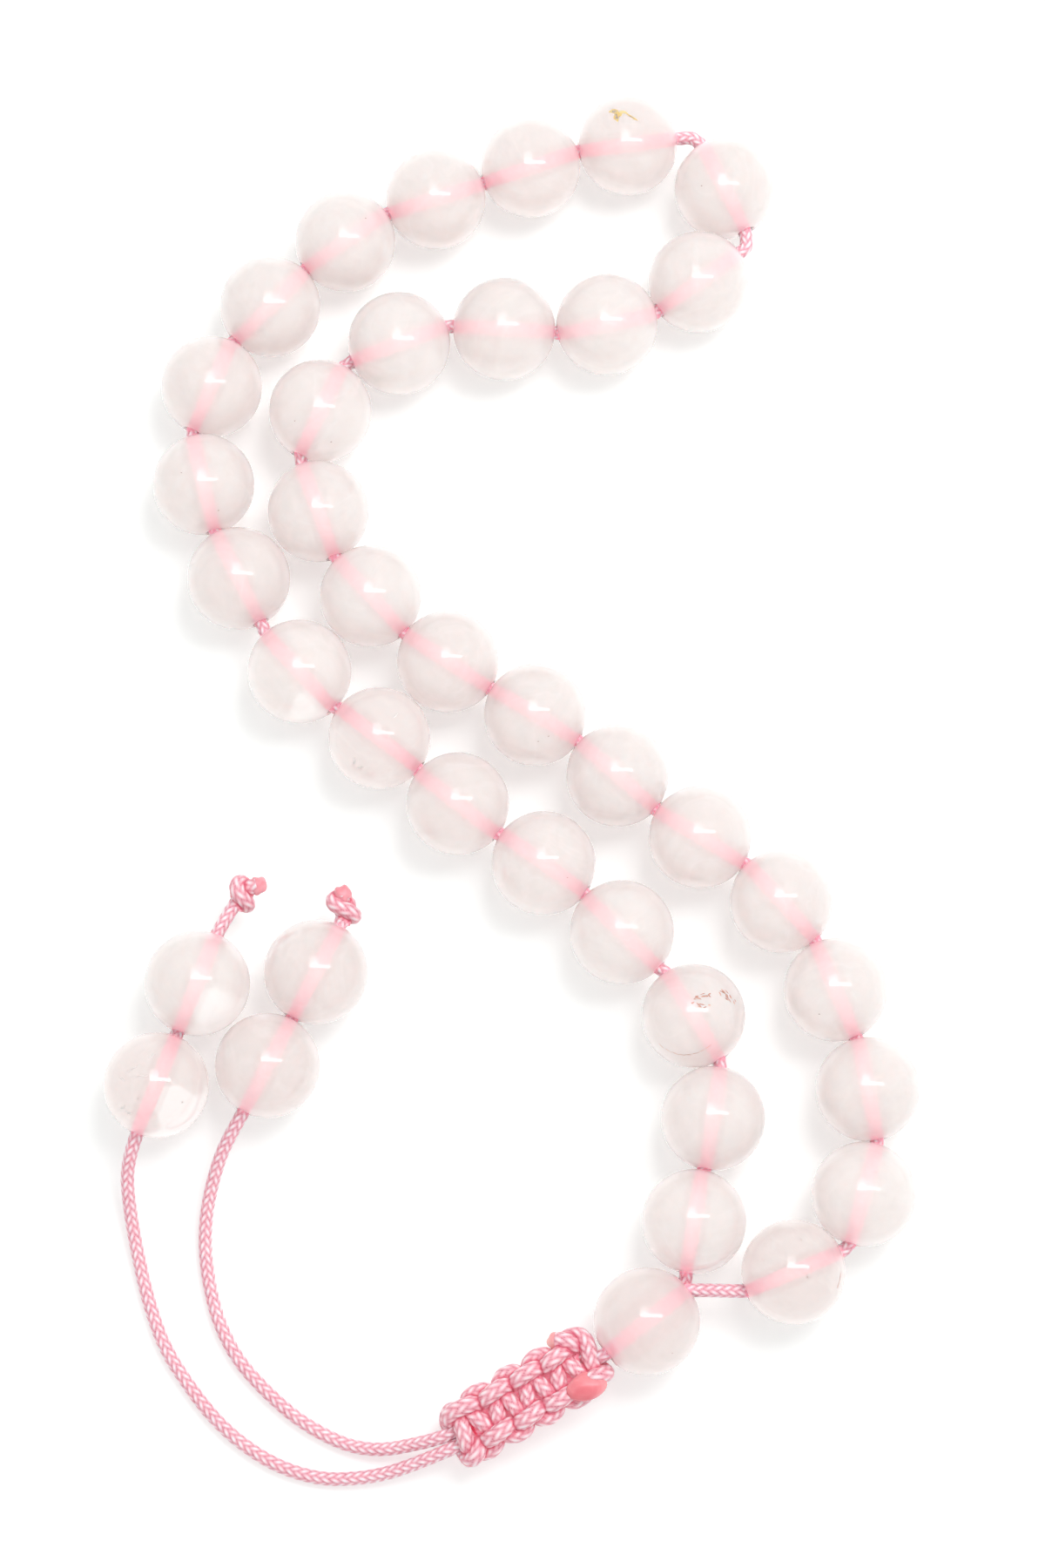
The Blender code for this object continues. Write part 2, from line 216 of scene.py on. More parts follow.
def joint_place(body):
    """Centre and bore direction of a bead, in millimetres."""
    joint = JOINTS[body]
    return np.array(joint["pos_m"]) / MM, np.array(joint["axis"])


BEADS = STRAND + TAIL_BEADS["left"] + TAIL_BEADS["right"] + ["guru_bead"]
BEAD_CENTRES = np.array([joint_place(body)[0] for body in BEADS])


def node_middle(node):
    low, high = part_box(node)
    return np.array((low + high) / 2) / MM


def unit(vector):
    return vector / np.linalg.norm(vector)


def level_axes(x):
    """Three directions: x, the level one to its left, and the one across both."""
    y = unit(np.cross(UP, x))
    return np.array([x, y, np.cross(x, y)])


# Lines and tubes

def smooth_line(points, steps=16):
    """Catmull-Rom curve through the points."""
    p = np.array(points, float)
    ends = np.vstack([2 * p[0] - p[1], p, 2 * p[-1] - p[-2]])
    t = np.linspace(0, 1, steps, endpoint=False)[:, None]
    out = []
    for a, b, c, d in zip(ends, ends[1:], ends[2:], ends[3:]):
        square = 2 * a - 5 * b + 4 * c - d
        cube = 3 * b - a - 3 * c + d
        out.append((2 * b + (c - a) * t + square * t**2 + cube * t**3) / 2)
    return np.vstack(out + [p[-1:]])


def lengths_along(line):
    return np.concatenate([[0], np.cumsum(np.linalg.norm(np.diff(line, axis=0), axis=1))])


def at_lengths(line, wanted):
    s = lengths_along(line)
    return np.stack([np.interp(wanted, s, line[:, k]) for k in range(3)], axis=1)


def resample(line, step):
    total = lengths_along(line)[-1]
    return at_lengths(line, np.linspace(0, total, max(2, int(round(total / step)) + 1)))


def soften(line, rounds):
    """Rounds off the corners of an evenly spaced line, keeping its ends."""
    line = line.copy()
    for _ in range(rounds):
        line[1:-1] = 0.25 * line[:-2] + 0.5 * line[1:-1] + 0.25 * line[2:]
    return line


def tube_frames(line):
    """Two directions across the line at each point, carried along without twist."""
    tangent = np.gradient(line, axis=0)
    tangent /= np.linalg.norm(tangent, axis=1)[:, None]
    first = np.cross(tangent[0], UP)
    if np.linalg.norm(first) < 0.1:
        first = np.cross(tangent[0], (0.0, 1.0, 0.0))
    across = [unit(first)]
    for t in tangent[1:]:
        across.append(unit(across[-1] - t * np.dot(across[-1], t)))
    across = np.array(across)
    return across, np.cross(tangent, across)


def braid(s, theta):
    """Height of the relief, and place across the top strand, of a two-over-two braid."""
    around = theta * BRAID_STRANDS / (2 * pi)
    along = s / STITCH
    u, v = around + along, around - along
    cu, cv = np.floor(u), np.floor(v)
    right = np.mod(cu + cv, 4) < 2
    over = np.where(right, u - cu, v - cv)
    travel = np.where(right, np.mod(cu + v, 4), np.mod(u + cv - 2, 4)) / 2
    crown = np.sqrt(np.clip(4 * over * (1 - over), 0, 1))
    arch = np.sin(pi * np.clip(travel, 0, 1)) ** 0.6
    height = crown * (0.35 + 0.65 * arch)
    return height, over + np.where(right, 0.0, 2.0)


def bead_depth(points, start):
    """How far inside a bead each point is: 0 at start, a distance from its middle, and 1 at its middle."""
    near = np.min([np.linalg.norm(points - c, axis=1) for c in BEAD_CENTRES], axis=0)
    return np.clip((start - near) / start, 0, 1)


def knot_depth(points):
    """1 on the runs of cord that the sliding knot covers, 0 elsewhere: where the strand's cord gets a faint
    painted glow.
    """
    middle, axes = knot_place()
    return (abs((points - middle) @ axes[0]) < KNOT_COVER) * 1.0


def crevice_depth(verts, places, centre, radius, core):
    """1 deep between two runs of a knot or against its core, 0 where its cord lies open: the share of painted
    shade there.
    """
    every = 4
    own_run = 2.6 * radius
    far_away = -100.0
    others = np.vstack([centre[::every], core])
    other_places = np.concatenate([places[::every], np.full(len(core), far_away)])
    out = []
    for ring, place in zip(verts.reshape(len(places), -1, 3), places):
        runs = others[abs(other_places - place) > own_run]
        nearest = np.linalg.norm(ring[:, None] - runs[None], axis=2).min(1)
        out.append(np.clip(1 - (nearest - radius) / CREVICE, 0, 1))
    return np.array(out)


def new_mesh(name, verts_mm, faces, material, smooth=True):
    mesh = bpy.data.meshes.new(name)
    mesh.from_pydata((np.asarray(verts_mm) * MM).tolist(), [], faces)
    mesh.validate()
    if smooth:
        mesh.shade_smooth()
    obj = bpy.data.objects.new(name, mesh)
    obj.data.materials.append(material)
    bpy.context.scene.collection.objects.link(obj)
    return obj


def grid_faces(rings, sides):
    i = np.arange(rings - 1)[:, None] * sides
    j = np.arange(sides)[None, :]
    k = (j + 1) % sides
    return np.stack([i + j, i + k, i + sides + k, i + sides + j], axis=-1).reshape(-1, 4).tolist()


def braided_cord(name, line, radius, material, places=None, covered=False, core=None):
    """A closed tube along the line with the braid's relief. places are the lengths where its rings stand. It
    gets a painted glow inside the beads. A covered cord runs through the sliding knot, and glows faintly
    there too. A tied cord has a core, the points that it is tied round, and painted shade deep in its
    crevices."""
    total = lengths_along(line)[-1]
    if places is None:
        places = np.linspace(0, total, int(total / BRAID_RING) + 1)
    centre = at_lengths(line, places)
    thin = np.clip(bead_depth(centre, THIN_START) * THIN_RATE - THIN_DELAY, 0, 1)
    radii = (radius - (radius - HIDDEN_CORD_R) * thin)[:, None]
    across, up = tube_frames(centre)
    theta = np.arange(BRAID_SIDES) * 2 * pi / BRAID_SIDES
    height, strand = braid(places[:, None], theta[None, :])
    r = (radii - BRAID_RELIEF + BRAID_RELIEF * height)[..., None]
    ring = across[:, None] * np.cos(theta)[None, :, None] + up[:, None] * np.sin(theta)[None, :, None]
    verts = (centre[:, None] + ring * r).reshape(-1, 3)
    faces = grid_faces(len(places), BRAID_SIDES)
    count = len(verts)
    verts = np.vstack([verts, centre[:1], centre[-1:]])
    last = count - BRAID_SIDES
    for j in range(BRAID_SIDES):
        k = (j + 1) % BRAID_SIDES
        faces.append([count, k, j])
        faces.append([count + 1, last + j, last + k])
    obj = new_mesh(name, verts, faces, material)
    # Painted glow of the cord inside the beads, and a faint one where the sliding knot covers it
    depth = bead_depth(centre, GLOW_START)
    if covered:
        depth = np.maximum(depth, KNOT_GLOW * knot_depth(centre))
    depth = np.repeat(depth[:, None], BRAID_SIDES, axis=1)
    # Painted shade deep in a knot's crevices
    knot_shade = np.zeros_like(depth)
    if core is not None:
        knot_shade = crevice_depth(verts[:count], places, centre, radius, core)
    end_values = [0.5, 0.5]
    for label, values in (("crown", height), ("strand", strand), ("depth", depth), ("knot_shade", knot_shade)):
        layer = obj.data.attributes.new(label, "FLOAT", "POINT")
        layer.data.foreach_set("value", np.concatenate([values.ravel(), end_values]).astype(np.float32))
    return obj


# Knots

def tighten(strands, core, reach, rounds):
    """Pulls strands tight round each other and round the core. Each core point has its own clearance."""
    strands = [resample(s, KNOT_STEP) for s in strands]
    for turn in range(rounds):
        if (turn + 1) % RESPACE_ROUNDS == 0:
            strands = [resample(s, KNOT_STEP) for s in strands]
        sizes = [len(s) for s in strands]
        points = np.vstack(strands)
        owner = np.repeat(np.arange(len(strands)), sizes)
        place = np.concatenate([np.arange(n) for n in sizes])
        apart = points[:, None] - points[None]
        gap = np.linalg.norm(apart, axis=2) + TINY
        along = abs(place[:, None] - place[None]) * KNOT_STEP
        same = (owner[:, None] == owner[None]) & (along < reach * SAME_RUN)
        push = np.where((gap < reach) & ~same, reach - gap, 0.0)
        move = (apart * (push / gap)[..., None]).sum(1) * CORD_PUSH
        if len(core):
            apart = points[:, None] - core[None, :, :3]
            gap = np.linalg.norm(apart, axis=2) + TINY
            push = np.clip(core[None, :, 3] - gap, 0, None)
            nearest = push.argmax(1)
            row = np.arange(len(points))
            move += apart[row, nearest] * (push / gap)[row, nearest, None] * CORE_PUSH
        for i in range(len(strands)):
            own = owner == i
            s = points[own]
            force = move[own]
            force[1:-1] += PULL * (s[:-2] + s[2:] - 2 * s[1:-1])
            force[2:-2] -= STIFFNESS * (s[:-4] - 4 * s[1:-3] + 6 * s[2:-2] - 4 * s[3:-1] + s[4:])
            force[[0, -1]] = 0
            size = np.linalg.norm(force, axis=1)
            strands[i] = s + force * np.minimum(1, LONGEST_MOVE / np.maximum(size, TINY))[:, None]
    return [soften(s, 2) for s in strands]


def square_knot_lines():
    """The knot's cord along +x. One half of it zigzags over the front; the other runs behind and hooks it."""
    p, h = KNOT_BAR, KNOT_HEIGHT
    start = -(KNOT_BARS - 1) / 2
    front = [((start - 1.0) * p, 0, -h)]
    back = [((start - 1.0) * p, 0, -h), ((start - 0.6) * p, -2.2, -0.2), ((start - 0.1) * p, -2.4, 1.5)]
    for k in range(KNOT_BARS):
        side = 1 if k % 2 == 0 else -1
        x = (start + k) * p
        front += [
            (x - 0.5 * p, side * KNOT_SIDE, -0.1), (x - 0.25 * p, side * 1.9, 0.8),
            (x, 0, h), (x + 0.25 * p, -side * 1.9, 0.8),
        ]
        down, up = x + 0.5 * p - 0.06, x - 0.5 * p + 0.06
        back += [
            (down - 0.03, -side * 1.75, 1.5), (down, -side * 1.65, 0.2), (down, -side * 1.4, -0.9),
            (x, 0, -h), (up, side * 1.4, -0.9), (up, side * 1.65, 0.2), (up + 0.03, side * 1.75, 1.5),
        ]
        if k < KNOT_BARS - 1:
            back.append((x + 0.5 * p, side * 2.3, 2.1))
    last = (start + KNOT_BARS - 0.5) * p
    front += [(last - 0.1, -KNOT_SIDE, 0.2), KNOT_TIPS["front"]]
    back += [(last - 0.9 * p, 2.5, 2.0), KNOT_TIPS["back"]]
    x = np.arange(-2.0, KNOT_BARS + 1, 1 / 3) * p + start * p
    core = np.array([(v, y, 0.0, CORE_REACH) for v in x for y in (-CORE_SIDE, CORE_SIDE)])
    return tighten([smooth_line(front, 8), smooth_line(back, 8)], core, KNOT_REACH, KNOT_ROUNDS)


def overhand_line(tip):
    """A cord that comes in along +x, is tied in an overhand knot and ends at the tip."""
    points = [
        (-4.0, 0, 0), (-1.0, 0, -0.2), (0.9, 0.1, -0.5), (1.9, 1.0, 0.0), (1.0, 2.0, 0.5), (-0.5, 1.3, 0.8),
        (-0.9, -0.2, 1.0), (-0.4, -1.2, 0.1), (0.1, -0.9, -0.9), (0.3, 0.2, -1.3), (0.4, 1.0, -0.2),
        (0.9, 1.2, 1.0), tip,
    ]
    line = tighten([smooth_line(points, 8)], [], END_KNOT_REACH, END_KNOT_ROUNDS)[0]
    where_tail_joins = -1.6
    return line[line[:, 0] > where_tail_joins]


# Nodes of materials

def set_inputs(n, **settings):
    for key, value in settings.items():
        n.inputs[key.replace("_", " ")].default_value = value


def node(tree, kind, **settings):
    n = tree.nodes.new(kind)
    for key, value in settings.items():
        if key in n.bl_rna.properties:
            setattr(n, key, value)
        else:
            set_inputs(n, **{key: value})
    return n


def start_material(name):
    material = bpy.data.materials.new(name)
    material.use_nodes = True
    tree = material.node_tree
    return material, tree, tree.nodes["Principled BSDF"]


def ramp(tree, stops, source):
    """Colours, or plain values, that change with the source."""
    r = tree.nodes.new("ShaderNodeValToRGB")
    while len(r.color_ramp.elements) < len(stops):
        r.color_ramp.elements.new(0.5)
    for element, (place, colour) in zip(r.color_ramp.elements, stops):
        red, green, blue = (colour, colour, colour) if isinstance(colour, (int, float)) else colour
        element.position = place
        element.color = (red, green, blue, 1)
    tree.links.new(source, r.inputs[0])
    return r.outputs[0]


def math_node(tree, operation, a, b=None):
    m = tree.nodes.new("ShaderNodeMath")
    m.operation = operation
    for socket, value in zip(m.inputs, (a, b)):
        if value is None:
            continue
        if isinstance(value, (int, float)):
            socket.default_value = value
        else:
            tree.links.new(value, socket)
    return m.outputs[0]


def object_place(tree):
    return node(tree, "ShaderNodeTexCoord").outputs["Object"]


def noise(tree, place, **settings):
    n = node(tree, "ShaderNodeTexNoise", **settings)
    tree.links.new(place, n.inputs["Vector"])
    return n.outputs["Fac"]


def attribute(tree, name):
    return node(tree, "ShaderNodeAttribute", attribute_name=name).outputs["Fac"]


def mix(tree, share, a, b):
    """Colour a with a share of colour b in it."""
    m = node(tree, "ShaderNodeMix", data_type="RGBA")
    tree.links.new(share, m.inputs["Factor"])
    tree.links.new(a, m.inputs["A"])
    if isinstance(b, tuple):
        m.inputs["B"].default_value = b
    else:
        tree.links.new(b, m.inputs["B"])
    return m.outputs["Result"]


def add_bump(tree, shader, height, strength, distance):
    bump = node(tree, "ShaderNodeBump", Strength=strength, Distance=distance)
    tree.links.new(height, bump.inputs["Height"])
    tree.links.new(bump.outputs["Normal"], shader.inputs["Normal"])


def seen_by(tree, kinds):
    """1 to rays of any of these kinds, 0 to others."""
    path = node(tree, "ShaderNodeLightPath")
    seen = path.outputs[f"Is {kinds[0]} Ray"]
    for kind in kinds[1:]:
        seen = math_node(tree, "MAXIMUM", seen, path.outputs[f"Is {kind} Ray"])
    return seen


# Materials

def nylon_material(name, shade=1.0):
    """Braided nylon: dark pink between its strands, by painted shade, and pale on their shiny backs, by a
    painted glint; redder by painted shade deep in a knot's crevices. Inside the stone it is painted paler
    further in and glows, a painted light for the light that the stone gives it; all of it glows faintly, a
    knot's crevices more."""
    material, tree, shader = start_material(name)
    material.cycles.emission_sampling = "NONE"
    link = tree.links.new
    crown = attribute(tree, "crown")
    strand = attribute(tree, "strand")
    knot_shade = attribute(tree, "knot_shade")
    depth = attribute(tree, "depth")
    speckle = noise(tree, object_place(tree), Scale=900.0, Detail=3.0)
    uneven = math_node(tree, "MULTIPLY", math_node(tree, "SUBTRACT", speckle, 0.5), 0.3)
    # Painted shade and painted glint: dark pink down between the strands, near white on the stitches' backs
    groove_shade_to_glint = [
        (0.0, (0.60, 0.12, 0.19)), (0.35, (0.79, 0.33, 0.41)), (0.62, (0.87, 0.49, 0.56)),
        (0.82, (0.92, 0.64, 0.70)), (0.97, (0.98, 0.87, 0.90)),
    ]
    stops = [(at, (r, g * shade, b * shade)) for at, (r, g, b) in groove_shade_to_glint]
    groove_shade_and_glint = ramp(tree, stops, math_node(tree, "ADD", crown, uneven))
    # Painted shade: redder deep in a knot's crevices
    colour = mix(tree, math_node(tree, "MULTIPLY", knot_shade, 0.8), groove_shade_and_glint, (0.70, 0.05, 0.12, 1))
    # Painted light: inside the stone the cord is painted paler further in and glows; all nylon glows faintly
    depth_tones = [(0.0, (0.95, 0.28, 0.40)), (0.45, (0.95, 0.52, 0.60)), (1.0, (0.95, 0.70, 0.73))]
    inside = ramp(tree, depth_tones, depth)
    hidden = math_node(tree, "MINIMUM", math_node(tree, "MULTIPLY", depth, 8.0), 1.0)
    link(mix(tree, hidden, colour, inside), shader.inputs["Base Color"])
    link(inside, shader.inputs["Emission Color"])
    glow = ramp(tree, [(0.0, 0.02), (0.12, 0.55)], depth)
    # Painted light: a knot's crevices glow a little
    crevice_glow = math_node(tree, "MULTIPLY", knot_shade, 0.08)
    link(math_node(tree, "ADD", glow, crevice_glow), shader.inputs["Emission Strength"])
    rough = math_node(tree, "ADD", 0.28, math_node(tree, "MULTIPLY", speckle, 0.18))
    link(rough, shader.inputs["Roughness"])
    fibres_in_strand = 6
    fibres = math_node(tree, "SINE", math_node(tree, "MULTIPLY", strand, 2 * pi * fibres_in_strand))
    add_bump(tree, shader, fibres, 0.25, 0.00003)
    set_inputs(
        shader, Subsurface_Weight=0.5, Subsurface_Radius=(1.0, 0.3, 0.35), Subsurface_Scale=0.0006,
        Sheen_Weight=0.25, Sheen_Roughness=0.4,
    )
    return material


def melted_material(name, colours):
    """Nylon melted to a hard shiny lump, in three colours from dark to pale."""
    material, tree, shader = start_material(name)
    mottle = noise(tree, object_place(tree), Scale=300.0, Detail=4.0, Distortion=0.8)
    tree.links.new(ramp(tree, list(zip((0.3, 0.5, 0.72), colours)), mottle), shader.inputs["Base Color"])
    add_bump(tree, shader, mottle, 0.4, 0.0001)
    set_inputs(
        shader, Roughness=0.22, Subsurface_Weight=0.4, Subsurface_Radius=(1.0, 0.3, 0.25),
        Subsurface_Scale=0.0008,
    )
    return material


def quartz_material(name, seed, milky, shade):
    """Milky pink stone: see-through body with clouds and white veils in it, and a polished face. Its rim
    glows a little, a painted light for the light that the stone spreads."""
    material, tree, shader = start_material(name)
    material.cycles.emission_sampling = "NONE"
    link = tree.links.new
    shift = node(tree, "ShaderNodeMapping", Location=(seed * 0.37, seed * 0.11, seed * 0.23))
    link(object_place(tree), shift.inputs["Vector"])
    place = shift.outputs[0]
    cloud = noise(tree, place, Scale=190.0, Detail=4.0, Roughness=0.55, Distortion=0.6)
    colours = [(0.25, (0.985, 0.895, 0.868)), (0.55, (0.98, 0.877, 0.85)), (0.8, (0.975, 0.86, 0.832))]
    body = ramp(tree, [(at, [shade * c for c in colour]) for at, colour in colours], cloud)
    wisp = noise(tree, place, Scale=110.0, Detail=4.0, Roughness=0.5, Distortion=1.2)
    veil = ramp(tree, [(0.36, 0), (0.5, 0.07), (0.55, 0.03), (0.7, 0)], wisp)
    link(mix(tree, veil, body, (0.97, 0.93, 0.91, 1)), shader.inputs["Base Color"])
    cloudy = math_node(tree, "MULTIPLY", cloud, 0.12 * milky)
    clear = math_node(tree, "SUBTRACT", 0.88 - 0.19 * milky, cloudy)
    veiled = math_node(tree, "MULTIPLY", veil, 0.3)
    link(math_node(tree, "SUBTRACT", clear, veiled), shader.inputs["Transmission Weight"])
    rough = math_node(tree, "ADD", 0.03 + 0.10 * milky, math_node(tree, "MULTIPLY", cloud, 0.06))
    link(rough, shader.inputs["Roughness"])
    # Painted light: the rim glows a little
    facing = node(tree, "ShaderNodeLayerWeight", Blend=0.5).outputs["Facing"]
    link(ramp(tree, [(0.45, 0), (0.97, 0.12)], facing), shader.inputs["Emission Strength"])
    set_inputs(
        shader, Emission_Color=(1.0, 0.93, 0.91, 1), IOR=1.54, Specular_IOR_Level=0.0,
        Coat_Weight=1.0, Coat_Roughness=0.01,
        Subsurface_Weight=1.0, Subsurface_Radius=(1.0, 0.75, 0.7), Subsurface_Scale=0.006,
    )
    return material


def bore_material():
    """The ground wall of a bore, which shows the cord through the stone."""
    material, tree, shader = start_material("ground_bore")
    grain = noise(tree, object_place(tree), Scale=2500.0, Detail=2.0)
    colour = ramp(tree, [(0.3, (0.92, 0.74, 0.74)), (0.7, (0.98, 0.88, 0.87))], grain)
    tree.links.new(colour, shader.inputs["Base Color"])
    set_inputs(shader, Roughness=0.6, Alpha=0.12)
    return material


def flake_material(name, dark, pale, cover):
    """A stain or flake in the stone, which covers the stone behind it only in part."""
    material, tree, shader = start_material(name)
    grain = noise(tree, object_place(tree), Scale=1800.0, Detail=3.0)
    tree.links.new(ramp(tree, [(0.35, dark), (0.65, pale)], grain), shader.inputs["Base Color"])
    set_inputs(shader, Roughness=0.3, Alpha=cover)
    return material


def table_material():
    """A white table with a little light of its own. Through the stone it shows plain white, unshaded."""
    material, tree, shader = start_material("table_white")
    material.cycles.emission_sampling = "NONE"
    set_inputs(
        shader, Base_Color=TABLE_COLOUR, Roughness=0.9, Specular_IOR_Level=0.0, Emission_Color=TABLE_LIGHT,
    )
    away = node(tree, "ShaderNodeVectorMath", operation="LENGTH")
    tree.links.new(object_place(tree), away.inputs[0])
    whiter = ramp(tree, TABLE_SEEN, away.outputs["Value"])
    more = math_node(tree, "MULTIPLY", seen_by(tree, ["Camera", "Glossy"]), whiter)
    tree.links.new(math_node(tree, "ADD", more, TABLE_GLOW), shader.inputs["Emission Strength"])
    white = node(tree, "ShaderNodeEmission", Color=TABLE_LIGHT, Strength=TABLE_THROUGH_STONE)
    mixed = node(tree, "ShaderNodeMixShader")
    tree.links.new(seen_by(tree, ["Transmission"]), mixed.inputs["Fac"])
    tree.links.new(shader.outputs["BSDF"], mixed.inputs[1])
    tree.links.new(white.outputs["Emission"], mixed.inputs[2])
    tree.links.new(mixed.outputs["Shader"], tree.nodes["Material Output"].inputs["Surface"])
    return material


# Stage, lights and camera

def area_light(name, place, size, power):
    """A panel that faces straight down."""
    data = bpy.data.lights.new(name, "AREA")
    data.shape = "RECTANGLE"
    data.size, data.size_y = size
    data.energy = power
    obj = bpy.data.objects.new(name, data)
    obj.location = place
    obj.visible_transmission = False
    bpy.context.scene.collection.objects.link(obj)
    return obj


def make_lights():
    """A soft key light, and a window of strips that shows only in the polish, brightest at its near edge."""
    key = area_light("key", KEY_PLACE, KEY_SIZE, KEY_POWER)
    key.visible_glossy = False
    for k in range(WINDOW_STRIPS):
        place = (WINDOW_X, WINDOW_NEAR + STRIP_HEIGHT * k, LAMP_HEIGHT)
        strip = area_light(f"window_{k}", place, (WINDOW_WIDTH, STRIP_HEIGHT), WINDOW_POWER * WINDOW_FADE**k)
        strip.visible_diffuse = False


def make_stage():
    """The table, and an even sky that is plain white wherever it is seen."""
    corners = [(x * TABLE_EDGE, y * TABLE_EDGE, FLOOR_Z) for x, y in ((-1, -1), (1, -1), (1, 1), (-1, 1))]
    table = new_mesh("table", corners, [[0, 1, 2, 3]], table_material(), smooth=False)
    world = bpy.data.worlds.new("studio")
    bpy.context.scene.world = world
    world.use_nodes = True
    sky = world.node_tree
    background = sky.nodes["Background"]
    set_inputs(background, Color=(1.0, 1.0, 1.0, 1))
    seen = seen_by(sky, ["Transmission", "Glossy", "Camera"])
    more = math_node(sky, "MULTIPLY", seen, WHITE - SKY_STRENGTH)
    sky.links.new(math_node(sky, "ADD", SKY_STRENGTH, more), background.inputs["Strength"])


def make_camera():
    data = bpy.data.cameras.new("camera")
    data.lens = LENS
    data.sensor_width = SENSOR
    data.clip_start, data.clip_end = 0.01, 10.0
    obj = bpy.data.objects.new("camera", data)
    place, target = Vector(CAMERA_PLACE) * MM, Vector(CAMERA_TARGET) * MM
    obj.location = place
    obj.rotation_euler = (target - place).to_track_quat("-Z", "Y").to_euler()
    bpy.context.scene.collection.objects.link(obj)
    bpy.context.scene.camera = obj


# Cords

def knot_ends():
    """Middle of the sliding knot and its direction from the guru bead towards the tails."""
    return node_middle("sliding_knot"), np.array(JOINTS["sliding_knot"]["axis"])


def knot_place():
    """Puts the sliding knot's own frame, +x towards the guru bead and +z up, where the knot is."""
    middle, to_tails = knot_ends()
    axes = level_axes(-to_tails)
    return middle + axes[0] * KNOT_SHIFT, axes


def tail_line(side):
    """Route of one tail from inside the sliding knot to its end knot."""
    middle, to_tails = knot_ends()
    across = level_axes(-to_tails)[1]
    offset = across * CORD_R * (-1.0 if side == "left" else 1.0)
    start = middle + to_tails * (KNOT_HALF - TAIL_HIDDEN) + offset
    leave = middle + to_tails * (KNOT_HALF + TAIL_STRAIGHT) + offset
    lying = [(x, y, rise + FLOOR_Z + CORD_R) for x, y, rise in TAIL_ROUTES[side]]
    lower, axis = joint_place(TAIL_BEADS[side][0])
    upper, _ = joint_place(TAIL_BEADS[side][1])
    through = [lower - axis * TAIL_MOUTH, lower, upper, upper + axis * TAIL_MOUTH]
    free = smooth_line([start, leave] + lying + through + [node_middle(f"end_knot_{side}")])
    return soften(resample(free, 0.25), 6)


def make_tails(material, knot_shade, melted):
    for side in ("left", "right"):
        line = tail_line(side)
        cord = braided_cord(f"cord_{side}", line, CORD_R, material)
        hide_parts(f"tail_cord_{side}")
        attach(cord, "cord")
        pieces = make_end_knot(side, line, knot_shade, melted)


def melted_lump(name, middle, axes, radii, seed, material):
    """A rounded, uneven lump of melted cord. axes are the directions of its three radii."""
    rows, sides = 20, 32
    wave_count, wave_size, unevenness = 6, 1.8, 0.05
    pole = 0.02
    turn = np.random.default_rng(seed)
    waves = [(turn.normal(size=3) * wave_size, turn.uniform(0, 2 * pi)) for _ in range(wave_count)]
    polar = np.linspace(pole, pi - pole, rows)
    theta = np.arange(sides) * 2 * pi / sides
    round_form = np.array([(cos(a), sin(a) * cos(t), sin(a) * sin(t)) for a in polar for t in theta])
    swell = 1 + unevenness * sum(np.sin(round_form @ w + f) for w, f in waves)
    verts = (round_form * swell[:, None] * np.array(radii)) @ np.array(axes) + np.array(middle)
    faces = [f[::-1] for f in grid_faces(rows, sides)]
    last = (rows - 1) * sides
    faces.append(list(range(sides)))
    faces.append([last + j for j in range(sides)][::-1])
    lump = new_mesh(name, verts, faces, material)
    return lump


def make_sliding_knot(material, melted):
    middle, axes = knot_place()
    front, back = [line @ axes + middle for line in square_knot_lines()]
    whole = np.vstack([front[::-1], back[1:]])
    along = np.arange(-7.5, 7.6, 0.4)
    core = np.array([(x, y, 0.0) for x in along for y in (-CORD_R, CORD_R)]) @ axes + middle
    knot = braided_cord("knot_cord", soften(resample(whole, 0.2), 2), KNOT_CORD_R, material, core=core)
    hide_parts("sliding_knot")
    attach(knot, "sliding_knot")
    for name, (place, radii, seed) in KNOT_LUMPS.items():
        lump = melted_lump(name, np.array(place) @ axes + middle, axes, radii, seed, melted)
        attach(lump, "sliding_knot")


def make_end_knot(side, line, material, melted):
    """The overhand knot at the end of a tail, turned to follow the tail, and its melted tip."""
    axes = level_axes(unit(line[-1] - line[-8]))
    middle = node_middle(f"end_knot_{side}") + END_KNOT_SHIFT @ axes
    path = overhand_line(END_TIPS[side]) @ axes + middle
    no_core = np.empty((0, 3))
    knot = braided_cord(f"tied_end_{side}", resample(path, 0.2), END_KNOT_CORD_R, material, core=no_core)
    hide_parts(f"end_knot_{side}")
    tip = melted_lump(f"melted_tip_{side}", path[-1], axes, *END_LUMP, melted)
    for piece in (knot, tip):
        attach(piece, "cord")
    return [knot, tip]


